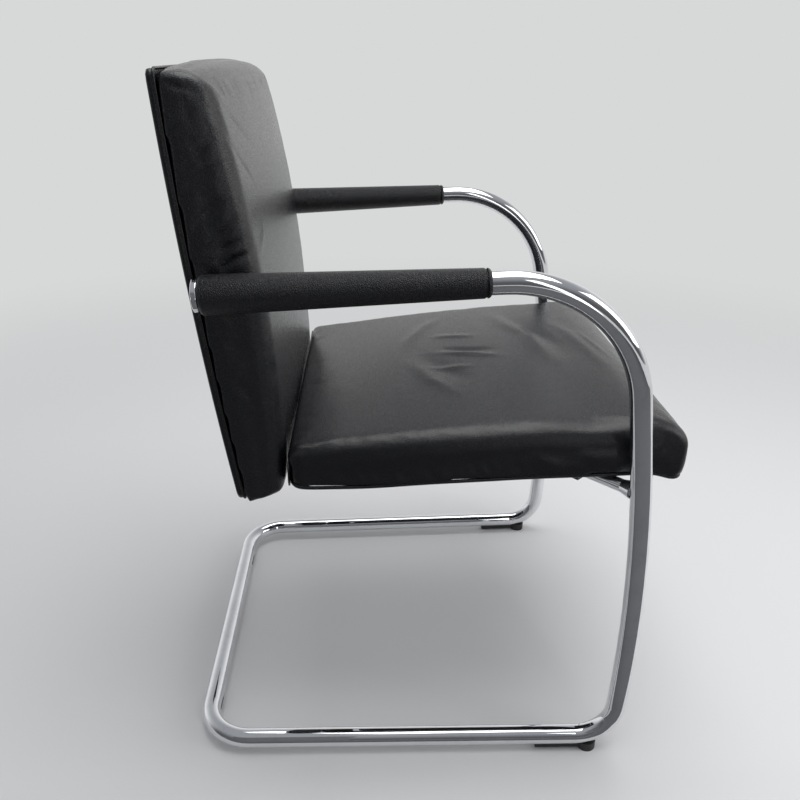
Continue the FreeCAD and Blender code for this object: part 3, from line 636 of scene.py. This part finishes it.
def tube_along(name, path, radius, aside=(0.0, 0.0, 1.0), sides=12):
    """A round cord along a closed path: a circle square to the path at each of its points."""
    ahead = np.roll(path, -1, axis=0) - np.roll(path, 1, axis=0)
    ahead = ahead / np.linalg.norm(ahead, axis=1, keepdims=True)
    across = np.cross(ahead, aside)
    across = across / np.linalg.norm(across, axis=1, keepdims=True)
    over = np.cross(across, ahead)
    angle = np.linspace(0, 2 * math.pi, sides, endpoint=False)[None, :, None]
    ring = across[:, None] * np.cos(angle) + over[:, None] * np.sin(angle)
    return surface(name, path[:, None] + radius * ring, True, True)


def make_seat_piping():
    """A round leather cord under the seat's lower edge, pulled up with it at the legs."""
    rear = seat_rear + piping_radius
    front = seat_front - seat_front_tuck - piping_radius
    half = seat_half - piping_radius
    plan = evened(corner_path(half, rear, front, seat_front_corner), 0.004)
    height = seat_bottom(plan[:, 1]) - piping_radius + piping_seat
    path = place(plan[:, 0], plan[:, 1], height)
    path[:, 2] += edge_lift(path)
    piece = tube_along("seat_edge_cord", path, piping_radius)
    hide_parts("seat_piping")
    return piece


def make_rear_strip():
    """A flat leather strip upright on the seat's rear face."""
    low = seat_bottom(seat_rear) + piping_radius

    def to_space(x, z, depth):
        return place(x, seat_rear - strip_thickness + depth, z)

    piece = slab("seat_rear_trim", seat_half - strip_margin, low, low + strip_height, 0.002,
                 strip_thickness, strip_thickness / 2, to_space)
    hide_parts("seat_rear_strip")
    return piece


def make_underside_cloth():
    """The black cloth stretched under the seat."""
    rear = seat_rear + cloth_margin
    front = seat_front - seat_front_tuck - cloth_margin

    def to_space(x, forward, depth):
        return place(x, forward, seat_bottom(forward) - cloth_thickness + depth)

    piece = slab("seat_dust_cloth", seat_half - cloth_margin, rear, front, cloth_corner,
                 cloth_thickness, cloth_thickness / 2, to_space, 0.01)
    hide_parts("seat_underside_cover")
    return piece


def make_rear_panel():
    """The leather-covered panel behind the back, bent with it."""
    def to_space(x, z, depth):
        return place(x, back_rear(z) + depth, z)

    piece = slab("back_panel_cover", panel_half, panel_bottom, panel_top, panel_corner,
                 panel_thickness, 0.003, to_space)
    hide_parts("back_panel_leather")
    return piece


def make_panel_welt():
    """The sewn edge of the panel: a thin cord round its front face, where the cushion meets it."""
    half = panel_half - welt_inset
    plan = evened(corner_path(half, panel_bottom, panel_top, panel_corner), 0.004)
    path = place(plan[:, 0], back_rear(plan[:, 1]) + panel_thickness, plan[:, 1])
    piece = tube_along("back_panel_welt", path, welt_radius, (0.0, 1.0, 0.0))
    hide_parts("back_panel_leather")
    return piece


def make_arm_pad(side, name, leather_node, core_node):
    """A tapered leather sleeve with rounded ends, turned about the arm's tube."""
    start = place(side * arm_end[0], arm_end[1], arm_end[2])
    corner = place(side * arm_corner[0], arm_corner[1], arm_corner[2])
    direction = (corner - start) / np.linalg.norm(corner - start)
    across = np.cross(direction, [0.0, 0.0, 1.0])
    across = across / np.linalg.norm(across)
    over = np.cross(across, direction)
    turn = np.linspace(0, math.pi / 2, 8)
    rear_along = pad_rounding * (1 - np.sin(turn[::-1]))
    rear_radius = pad_rear_radius - pad_rounding * (1 - np.cos(turn[::-1]))
    middle = np.linspace(pad_rounding, pad_length - pad_rounding, 90)[1:-1]
    middle_radius = np.interp(middle, [0, pad_length], [pad_rear_radius, pad_front_radius])
    front_along = pad_length - pad_rounding * (1 - np.sin(turn))
    front_radius = pad_front_radius - pad_rounding * (1 - np.cos(turn))
    inner = np.linspace(pad_length, 0, 30)
    along = np.concatenate([rear_along, middle, front_along[::-1], inner]) + pad_gap
    radius = np.concatenate([rear_radius, middle_radius, front_radius[::-1], np.full(30, pad_bore)])
    angle = np.linspace(0, 2 * math.pi, 72, endpoint=False)[None, :, None]
    ring = across * np.cos(angle) + over * np.sin(angle)
    points = start + direction * along[:, None, None] + ring * radius[:, None, None]
    piece = surface(name, points, True, True)
    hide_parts(leather_node, core_node)
    return piece


# Materials

leather_black = (0.0042, 0.0047, 0.0066)
leather_rubbed = (0.0054, 0.0058, 0.0077)


def material(name, roughness, metallic=0.0, specular=0.5):
    """A new material with its Principled shader, and its node tree."""
    made = bpy.data.materials.new(name)
    made.use_nodes = True
    shader = made.node_tree.nodes["Principled BSDF"]
    shader.inputs["Roughness"].default_value = roughness
    shader.inputs["Metallic"].default_value = metallic
    shader.inputs["Specular IOR Level"].default_value = specular
    return made, made.node_tree, shader


def node(tree, kind, **settings):
    """A new node; settings that name an input set its value, others set the node itself."""
    made = tree.nodes.new(kind)
    for name, value in settings.items():
        if hasattr(made, name):
            setattr(made, name, value)
        else:
            made.inputs[name.replace("_", " ")].default_value = value
    return made


def math_node(tree, operation, first, second):
    """One sum of arithmetic; each of the two terms is a number or another node's output."""
    made = tree.nodes.new("ShaderNodeMath")
    made.operation = operation
    for socket, term in zip(made.inputs, (first, second)):
        if isinstance(term, (int, float)):
            socket.default_value = term
        else:
            tree.links.new(term, socket)
    return made.outputs[0]


def ranged(tree, value, low, high, to_low, to_high):
    """The value carried smoothly from one range to another and kept inside it."""
    made = tree.nodes.new("ShaderNodeMapRange")
    made.interpolation_type = "SMOOTHSTEP"
    tree.links.new(value, made.inputs["Value"])
    for name, number in (("From Min", low), ("From Max", high), ("To Min", to_low),
                         ("To Max", to_high)):
        made.inputs[name].default_value = number
    return made.outputs["Result"]


def blended(tree, mask, first, second):
    """One colour turning into another as the mask goes from 0 to 1."""
    made = tree.nodes.new("ShaderNodeMix")
    made.data_type = "RGBA"
    tree.links.new(mask, made.inputs["Factor"])
    made.inputs["A"].default_value = (*first, 1)
    made.inputs["B"].default_value = (*second, 1)
    return made.outputs["Result"]


def new_group(name, inputs, outputs):
    """An empty node group: inputs are (name, kind, value) and outputs (name, kind)."""
    group = bpy.data.node_groups.new(name, "ShaderNodeTree")
    for label, kind, value in inputs:
        made = group.interface.new_socket(label, in_out="INPUT", socket_type=kind)
        if value is not None:
            made.default_value = value
    for label, kind in outputs:
        group.interface.new_socket(label, in_out="OUTPUT", socket_type=kind)
    start = group.nodes.new("NodeGroupInput")
    end = group.nodes.new("NodeGroupOutput")
    return group, start, end


def pebble_grain_group():
    """Leather grain: small domes between narrow creases, with a finer one in the larger."""
    group, start, end = new_group(
        "pebble_grain",
        [("Vector", "NodeSocketVector", None), ("Cells per metre", "NodeSocketFloat", 500.0)],
        [("Height", "NodeSocketFloat"), ("Crease", "NodeSocketFloat")])
    warp = node(group, "ShaderNodeTexNoise", Scale=240.0, Detail=2.0)
    group.links.new(start.outputs["Vector"], warp.inputs["Vector"])
    push = node(group, "ShaderNodeVectorMath", operation="MULTIPLY_ADD")
    group.links.new(warp.outputs["Color"], push.inputs[0])
    push.inputs[1].default_value = (0.0016, 0.0016, 0.0016)
    group.links.new(start.outputs["Vector"], push.inputs[2])
    cells = node(group, "ShaderNodeTexVoronoi", feature="DISTANCE_TO_EDGE")
    group.links.new(push.outputs["Vector"], cells.inputs["Vector"])
    group.links.new(start.outputs["Cells per metre"], cells.inputs["Scale"])
    small = node(group, "ShaderNodeTexVoronoi", feature="DISTANCE_TO_EDGE")
    group.links.new(push.outputs["Vector"], small.inputs["Vector"])
    finer = math_node(group, "MULTIPLY", start.outputs["Cells per metre"], 2.3)
    group.links.new(finer, small.inputs["Scale"])
    large_dome = ranged(group, cells.outputs["Distance"], 0.0, 0.28, 0.0, 1.0)
    small_dome = ranged(group, small.outputs["Distance"], 0.0, 0.25, 0.0, 0.35)
    group.links.new(math_node(group, "ADD", large_dome, small_dome), end.inputs["Height"])
    crease = ranged(group, cells.outputs["Distance"], 0.0, 0.10, 1.0, 0.0)
    group.links.new(crease, end.inputs["Crease"])
    return group


def fine_crease_group():
    """Thin lines where leather has been pressed together: the zero lines of a stretched noise."""
    group, start, end = new_group(
        "fine_creases",
        [("Vector", "NodeSocketVector", None), ("Lines per metre", "NodeSocketFloat", 40.0),
         ("Sharpness", "NodeSocketFloat", 14.0)],
        [("Height", "NodeSocketFloat")])
    noise = node(group, "ShaderNodeTexNoise", Detail=3.0, Roughness=0.55, Distortion=0.6)
    group.links.new(start.outputs["Vector"], noise.inputs["Vector"])
    group.links.new(start.outputs["Lines per metre"], noise.inputs["Scale"])
    centred = math_node(group, "SUBTRACT", noise.outputs["Fac"], 0.5)
    away = math_node(group, "ABSOLUTE", centred, 0.0)
    scaled = math_node(group, "MULTIPLY", away, start.outputs["Sharpness"])
    group.links.new(math_node(group, "MINIMUM", scaled, 1.0), end.inputs["Height"])
    return group


def smudge_group():
    """Handling marks: soft patches broken up by finer ones, 0 clean to 1 marked."""
    group, start, end = new_group(
        "smudges",
        [("Vector", "NodeSocketVector", None), ("Patches per metre", "NodeSocketFloat", 12.0)],
        [("Mask", "NodeSocketFloat")])
    broad = node(group, "ShaderNodeTexNoise", Detail=4.0, Roughness=0.6)
    group.links.new(start.outputs["Vector"], broad.inputs["Vector"])
    group.links.new(start.outputs["Patches per metre"], broad.inputs["Scale"])
    fine = node(group, "ShaderNodeTexNoise", Detail=3.0, Roughness=0.7)
    group.links.new(start.outputs["Vector"], fine.inputs["Vector"])
    finer = math_node(group, "MULTIPLY", start.outputs["Patches per metre"], 9.0)
    group.links.new(finer, fine.inputs["Scale"])
    patches = ranged(group, broad.outputs["Fac"], 0.42, 0.68, 0.0, 1.0)
    specks = ranged(group, fine.outputs["Fac"], 0.35, 0.65, 0.3, 1.0)
    group.links.new(math_node(group, "MULTIPLY", patches, specks), end.inputs["Mask"])
    return group


def put_group(tree, group, **values):
    """A group placed in a material's tree, with its values set by name."""
    made = tree.nodes.new("ShaderNodeGroup")
    made.node_tree = group
    for name, value in values.items():
        made.inputs[name.replace("_", " ")].default_value = value
    return made


def object_vector(tree, stretch=(1.0, 1.0, 1.0), turn=(0.0, 0.0, 0.0)):
    """Object coordinates, stretched and turned where a pattern has a direction."""
    place_node = tree.nodes.new("ShaderNodeTexCoord")
    mapping = tree.nodes.new("ShaderNodeMapping")
    mapping.inputs["Scale"].default_value = stretch
    mapping.inputs["Rotation"].default_value = turn
    tree.links.new(place_node.outputs["Object"], mapping.inputs["Vector"])
    return mapping.outputs["Vector"]


def bump(tree, height, strength, distance, below=None):
    made = node(tree, "ShaderNodeBump", Strength=strength, Distance=distance)
    tree.links.new(height, made.inputs["Height"])
    if below is not None:
        tree.links.new(below, made.inputs["Normal"])
    return made.outputs["Normal"]


def leather(name, groups, specular, cells, depth, roughness, crease_depth):
    """Black leather: pebbled grain, pressed lines, a slightly bluish black and rubbed patches."""
    made, tree, shader = material(name, roughness, specular=specular)
    grain, creases, smudges = groups
    vector = object_vector(tree)
    pebbles = put_group(tree, grain, Cells_per_metre=cells)
    tree.links.new(vector, pebbles.inputs["Vector"])
    lines = put_group(tree, creases, Lines_per_metre=34.0)
    tree.links.new(vector, lines.inputs["Vector"])
    marks = put_group(tree, smudges, Patches_per_metre=9.0)
    tree.links.new(vector, marks.inputs["Vector"])
    lower = bump(tree, lines.outputs["Height"], 1.0, crease_depth)
    upper = bump(tree, pebbles.outputs["Height"], 1.0, depth, lower)
    tree.links.new(upper, shader.inputs["Normal"])
    tone = blended(tree, marks.outputs["Mask"], leather_black, leather_rubbed)
    tree.links.new(tone, shader.inputs["Base Color"])
    rubbed = ranged(tree, marks.outputs["Mask"], 0.0, 1.0, roughness + 0.01, roughness - 0.015)
    valley = math_node(tree, "MULTIPLY", pebbles.outputs["Crease"], 0.06)
    tree.links.new(math_node(tree, "ADD", rubbed, valley), shader.inputs["Roughness"])
    return made


def chrome(name, smudges):
    """Polished chrome plate with faint handling marks and a soft ripple on its surface."""
    made, tree, shader = material(name, 0.04, metallic=1.0)
    vector = object_vector(tree)
    marks = put_group(tree, smudges, Patches_per_metre=22.0)
    tree.links.new(vector, marks.inputs["Vector"])
    tone = blended(tree, marks.outputs["Mask"], (0.80, 0.81, 0.83), (0.72, 0.73, 0.75))
    tree.links.new(tone, shader.inputs["Base Color"])
    rough = ranged(tree, marks.outputs["Mask"], 0.0, 1.0, 0.035, 0.10)
    tree.links.new(rough, shader.inputs["Roughness"])
    ripple = node(tree, "ShaderNodeTexNoise", Scale=30.0, Detail=1.0)
    tree.links.new(vector, ripple.inputs["Vector"])
    tree.links.new(bump(tree, ripple.outputs["Fac"], 0.2, 0.0002), shader.inputs["Normal"])
    return made


def speckled(name, dark, light, roughness, metallic, scale, depth, specular=0.5):
    """A plain finish with a fine uneven surface, for moulded, painted and plated parts."""
    made, tree, shader = material(name, roughness, metallic, specular)
    vector = object_vector(tree)
    fine = node(tree, "ShaderNodeTexNoise", Scale=scale, Detail=4.0, Roughness=0.6)
    tree.links.new(vector, fine.inputs["Vector"])
    tree.links.new(blended(tree, fine.outputs["Fac"], dark, light), shader.inputs["Base Color"])
    rough = ranged(tree, fine.outputs["Fac"], 0.3, 0.7, roughness - 0.06, roughness + 0.06)
    tree.links.new(rough, shader.inputs["Roughness"])
    tree.links.new(bump(tree, fine.outputs["Fac"], 0.5, depth), shader.inputs["Normal"])
    return made


def plywood():
    """Beech veneer: long grain lines across the seat, with a darker streak here and there."""
    made, tree, shader = material("plywood_veneer", 0.6)
    vector = object_vector(tree, stretch=(6.0, 90.0, 90.0))
    grain = node(tree, "ShaderNodeTexNoise", Scale=1.6, Detail=6.0, Roughness=0.65)
    tree.links.new(vector, grain.inputs["Vector"])
    tone = blended(tree, grain.outputs["Fac"], (0.42, 0.26, 0.13), (0.62, 0.43, 0.25))
    tree.links.new(tone, shader.inputs["Base Color"])
    tree.links.new(bump(tree, grain.outputs["Fac"], 0.4, 0.0003), shader.inputs["Normal"])
    return made


def woven_cloth():
    """Black dust cloth: two sets of threads that cross at right angles."""
    made, tree, shader = material("dust_cloth_weave", 0.85, specular=0.25)
    vector = object_vector(tree)
    heights = []
    for direction in ("X", "Y"):
        threads = node(tree, "ShaderNodeTexWave", bands_direction=direction, Scale=420.0,
                       Distortion=0.6, Detail=1.0)
        tree.links.new(vector, threads.inputs["Vector"])
        heights.append(threads.outputs["Fac"])
    weave = math_node(tree, "MAXIMUM", heights[0], heights[1])
    tone = blended(tree, weave, (0.004, 0.004, 0.005), (0.018, 0.018, 0.020))
    tree.links.new(tone, shader.inputs["Base Color"])
    tree.links.new(bump(tree, weave, 0.8, 0.0003), shader.inputs["Normal"])
    return made


# Stage, light and camera

backdrop_colour = (0.68, 0.69, 0.69)
near_wall_colour = (0.105, 0.107, 0.115)
far_wall_colour = (0.86, 0.86, 0.86)
ceiling_colour = (0.34, 0.35, 0.37)
floor_colour = (0.82, 0.82, 0.82)
card_colour = (0.17, 0.17, 0.175)
floor_fade_start = 0.7
floor_fade_end = 2.6
card_height = 0.004


def make_world():
    """Pale all round for the camera; a room lit more on its +X side for light and reflections."""
    world = bpy.data.worlds.new("studio")
    bpy.context.scene.world = world
    world.use_nodes = True
    tree = world.node_tree
    tree.nodes.clear()
    direction = tree.nodes.new("ShaderNodeTexCoord").outputs["Generated"]
    split = tree.nodes.new("ShaderNodeSeparateXYZ")
    tree.links.new(direction, split.inputs["Vector"])
    side = ranged(tree, split.outputs["X"], -0.35, 0.45, 0.0, 1.0)
    height = ranged(tree, split.outputs["Z"], 0.15, 0.85, 0.0, 1.0)
    wall = blended(tree, side, near_wall_colour, far_wall_colour)
    upper = tree.nodes.new("ShaderNodeMix")
    upper.data_type = "RGBA"
    tree.links.new(height, upper.inputs["Factor"])
    tree.links.new(wall, upper.inputs["A"])
    upper.inputs["B"].default_value = (*ceiling_colour, 1)
    room = tree.nodes.new("ShaderNodeBackground")
    tree.links.new(upper.outputs["Result"], room.inputs["Color"])
    seen = tree.nodes.new("ShaderNodeBackground")
    seen.inputs["Color"].default_value = (*backdrop_colour, 1)
    path = tree.nodes.new("ShaderNodeLightPath")
    choice = tree.nodes.new("ShaderNodeMixShader")
    tree.links.new(path.outputs["Is Camera Ray"], choice.inputs["Fac"])
    tree.links.new(room.outputs["Background"], choice.inputs[1])
    tree.links.new(seen.outputs["Background"], choice.inputs[2])
    end = tree.nodes.new("ShaderNodeOutputWorld")
    tree.links.new(choice.outputs["Shader"], end.inputs["Surface"])


def make_floor():
    """A wide pale floor that fades into the backdrop's colour far from the chair."""
    ring = np.linspace(0, 2 * math.pi, 96, endpoint=False)[None, :]
    reach = np.array([0.0, 0.5, 1.0, 2.0, 4.0, 9.0])[:, None]
    points = np.stack([reach * np.cos(ring), reach * np.sin(ring), 0 * reach * ring], axis=-1)
    floor = surface("studio_floor", points, False, True)
    made, tree, shader = material("floor_matte", 0.55, specular=0.3)
    shader.inputs["Base Color"].default_value = (*floor_colour, 1)
    far = node(tree, "ShaderNodeVectorMath", operation="LENGTH")
    tree.links.new(object_vector(tree), far.inputs[0])
    fade = ranged(tree, far.outputs["Value"], floor_fade_start, floor_fade_end, 0.0, 1.0)
    path = tree.nodes.new("ShaderNodeLightPath")
    seen = math_node(tree, "MAXIMUM", path.outputs["Is Camera Ray"], path.outputs["Is Glossy Ray"])
    glow = node(tree, "ShaderNodeEmission", Strength=1.0)
    glow.inputs["Color"].default_value = (*backdrop_colour, 1)
    choice = tree.nodes.new("ShaderNodeMixShader")
    tree.links.new(math_node(tree, "MULTIPLY", fade, seen), choice.inputs["Fac"])
    tree.links.new(shader.outputs["BSDF"], choice.inputs[1])
    tree.links.new(glow.outputs["Emission"], choice.inputs[2])
    tree.links.new(choice.outputs["Shader"], tree.nodes["Material Output"].inputs["Surface"])
    floor.data.materials.append(made)


def softbox(name, spot, target, width, height, power):
    """A soft rectangular lamp at a spot, turned to a target."""
    lamp = bpy.data.lights.new(name, "AREA")
    lamp.shape = "RECTANGLE"
    lamp.size = width
    lamp.size_y = height
    lamp.energy = power
    holder = bpy.data.objects.new(name, lamp)
    bpy.context.scene.collection.objects.link(holder)
    holder.location = spot
    direction = Vector(target) - Vector(spot)
    holder.rotation_euler = direction.to_track_quat("-Z", "Y").to_euler()


def gray_card(name, corners):
    """A gray card beside the set: reflections show it, the camera and the shadows don't."""
    mesh = bpy.data.meshes.new(name)
    mesh.from_pydata(corners, [], [(0, 1, 2, 3)])
    card = bpy.data.objects.new(name, mesh)
    bpy.context.scene.collection.objects.link(card)
    made, _, shader = material(name + "_card", 1.0, specular=0.0)
    shader.inputs["Base Color"].default_value = (*card_colour, 1)
    mesh.materials.append(made)
    card.visible_camera = False
    card.visible_diffuse = False
    card.visible_shadow = False
    card.visible_transmission = False


def make_cards():
    """One card on the floor and one upright, both on the camera's side of the chair."""
    low = card_height
    gray_card("flag_on_floor", [(-3.0, -2.5, low), (-0.31, -2.5, low),
                                (-0.31, 2.5, low), (-3.0, 2.5, low)])
    gray_card("flag_beside_camera", [(-1.7, 0.2, low), (-1.7, 1.6, low),
                                     (-1.7, 1.6, 1.6), (-1.7, 0.2, 1.6)])


def make_lights():
    softbox("ceiling_softbox", (0.1, -0.3, 2.5), (0.0, 0.0, 0.4), 2.2, 1.6, 34.0)
    softbox("front_softbox", (-0.6, -2.3, 1.5), (0.0, 0.0, 0.5), 1.4, 1.6, 14.0)
    softbox("strip_light", (-1.9, -0.75, 1.1), (0.0, 0.0, 0.5), 0.22, 1.7, 2.2)


def make_camera():
    lens = bpy.data.cameras.new("photo_view")
    lens.lens = camera_lens
    lens.sensor_width = 36.0
    camera = bpy.data.objects.new("photo_view", lens)
    bpy.context.scene.collection.objects.link(camera)
    turn = Vector(camera_forward).to_track_quat("-Z", "Y").to_matrix()
    turn = turn @ Matrix.Rotation(camera_roll, 3, "Z")
    camera.matrix_world = Matrix.Translation(camera_place) @ turn.to_4x4()
    bpy.context.scene.camera = camera


make_camera()
make_world()
make_floor()
make_cards()
make_lights()

grain = pebble_grain_group()
creases = fine_crease_group()
smudges = smudge_group()
groups = (grain, creases, smudges)
seat_leather = leather("seat_leather", groups, 0.50, 620.0, 0.00006, 0.25, 0.00003)
back_leather = leather("back_leather", groups, 0.62, 430.0, 0.00012, 0.23, 0.00004)
arm_leather = leather("arm_leather_grain", groups, 0.42, 480.0, 0.00034, 0.28, 0.00002)
finishes = {
    "chrome_tube": chrome("chrome_plate", smudges),
    "black_plastic": speckled("black_moulded_plastic", (0.010, 0.010, 0.011), (0.022, 0.022, 0.024),
                              0.45, 0.0, 900.0, 0.0001),
    "zinc_steel": speckled("zinc_plated_steel", (0.45, 0.46, 0.48), (0.62, 0.63, 0.65),
                           0.32, 1.0, 400.0, 0.00005),
    "black_steel": speckled("black_painted_steel", (0.012, 0.012, 0.013), (0.025, 0.025, 0.027),
                            0.40, 0.0, 600.0, 0.0001),
    "plywood": plywood(),
    "black_cloth": woven_cloth(),
}
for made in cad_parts.values():
    for holder in made.material_slots:
        name = holder.material.name.split(".")[0] if holder.material else ""
        if name in finishes:
            holder.material = finishes[name]

dressed = [
    (make_seat_cushion(), seat_leather, "leather_black"),
    (make_back_cushion(), back_leather, "leather_black"),
    (make_rear_panel(), seat_leather, "leather_black"),
    (make_panel_welt(), seat_leather, "leather_black"),
    (make_seat_piping(), seat_leather, "leather_black"),
    (make_rear_strip(), seat_leather, "leather_black"),
    (make_underside_cloth(), finishes["black_cloth"], "black_cloth"),
    (make_arm_pad(1, "left_arm_pad", "left_arm_leather", "left_arm_core"),
     arm_leather, "arm_leather"),
    (make_arm_pad(-1, "right_arm_pad", "right_arm_leather", "right_arm_core"),
     arm_leather, "arm_leather"),
]
for piece, finish, slot in dressed:
    piece.data.materials.clear()
    piece.data.materials.append(finish)
    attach(piece, "root")

bpy.context.scene.view_settings.view_transform = "Standard"
